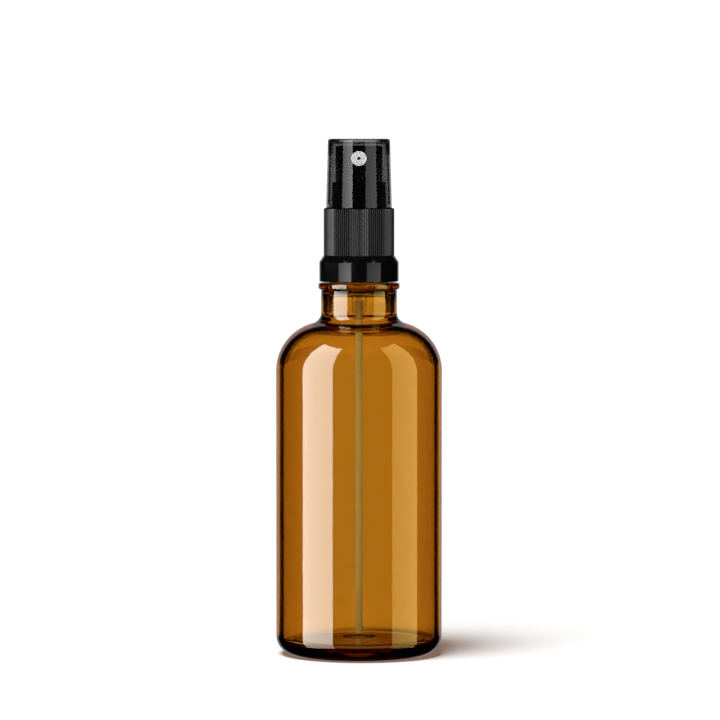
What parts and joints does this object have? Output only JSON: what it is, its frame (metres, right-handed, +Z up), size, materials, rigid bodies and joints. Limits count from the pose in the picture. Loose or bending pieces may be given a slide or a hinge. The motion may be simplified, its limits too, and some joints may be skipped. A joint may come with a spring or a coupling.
{
  "type": "spray bottle",
  "caption": "Round-shouldered amber glass bottle with a black screw-on fine mist sprayer, a smoked overcap and a dip tube.",
  "frame": {"origin": "middle of the base, at the height of the surface it stands on", "axes": "+Z up along the bottle's axis, the nozzle faces -Y, +X is to the right when the nozzle faces the viewer"},
  "size_m": [0.047, 0.047, 0.1462],
  "materials": {
    "amber_glass": "clear amber, smooth",
    "black_plastic": "black, semi-gloss",
    "smoked_plastic": "see-through smoke grey, glossy",
    "white_plastic": "white, satin",
    "natural_plastic": "milky, see-through",
    "spring_steel": "stainless, drawn",
    "black_rubber": "matt",
    "gasket_foam": "matt, fine foam"
  },
  "bodies": {
    "bottle": {"bottle": "amber_glass"},
    "pump_unit": {"pump_housing": "natural_plastic", "chaplet": "white_plastic", "stem_seal": "black_rubber", "neck_gasket": "gasket_foam", "dip_tube": "natural_plastic", "main_spring": "spring_steel"},
    "closure": {"closure": "black_plastic"},
    "overcap": {"overcap": "smoked_plastic"},
    "piston_rod": {"piston_rod": "white_plastic", "precompression_spring": "spring_steel"},
    "piston": {"piston": "white_plastic"},
    "head": {"stem": "white_plastic", "actuator": "black_plastic", "nozzle_insert": "white_plastic"},
    "check_ball": {"check_ball": "spring_steel"}
  },
  "joints": [
    {"name": "closure_lift", "type": "slide", "parent": "bottle", "child": "pump_unit", "axis": [0, 0, 1], "range_m": [0, 0.0048]},
    {"name": "closure_turn", "type": "hinge", "parent": "pump_unit", "child": "closure", "pos_m": [0, 0, 0.115], "axis": [0, 0, 1], "range_deg": [0, 540]},
    {"name": "overcap_lift", "type": "slide", "parent": "closure", "child": "overcap", "axis": [0, 0, 1], "range_m": [0, 0.03]},
    {"name": "pump_stroke", "type": "slide", "parent": "pump_unit", "child": "piston_rod", "axis": [0, 0, 1], "range_m": [-0.0038, 0], "stiffness_N_per_m": 1200, "springref_m": 0.004, "deforming": ["main_spring"]},
    {"name": "head_turn", "type": "hinge", "parent": "piston_rod", "child": "head", "pos_m": [0, 0, 0.13], "axis": [0, 0, 1], "continuous": true},
    {"name": "piston_slip", "type": "slide", "parent": "piston_rod", "child": "piston", "axis": [0, 0, 1], "range_m": [0, 0.0005], "stiffness_N_per_m": 2000, "springref_m": -0.001, "deforming": ["precompression_spring"]},
    {"name": "ball_lift", "type": "slide", "parent": "pump_unit", "child": "check_ball", "axis": [0, 0, 1], "range_m": [0, 0.0008]}
  ],
  "couplings": [
    {"joint": "closure_lift", "follows": "closure_turn", "m_per_rad": 0.00050532}
  ]
}
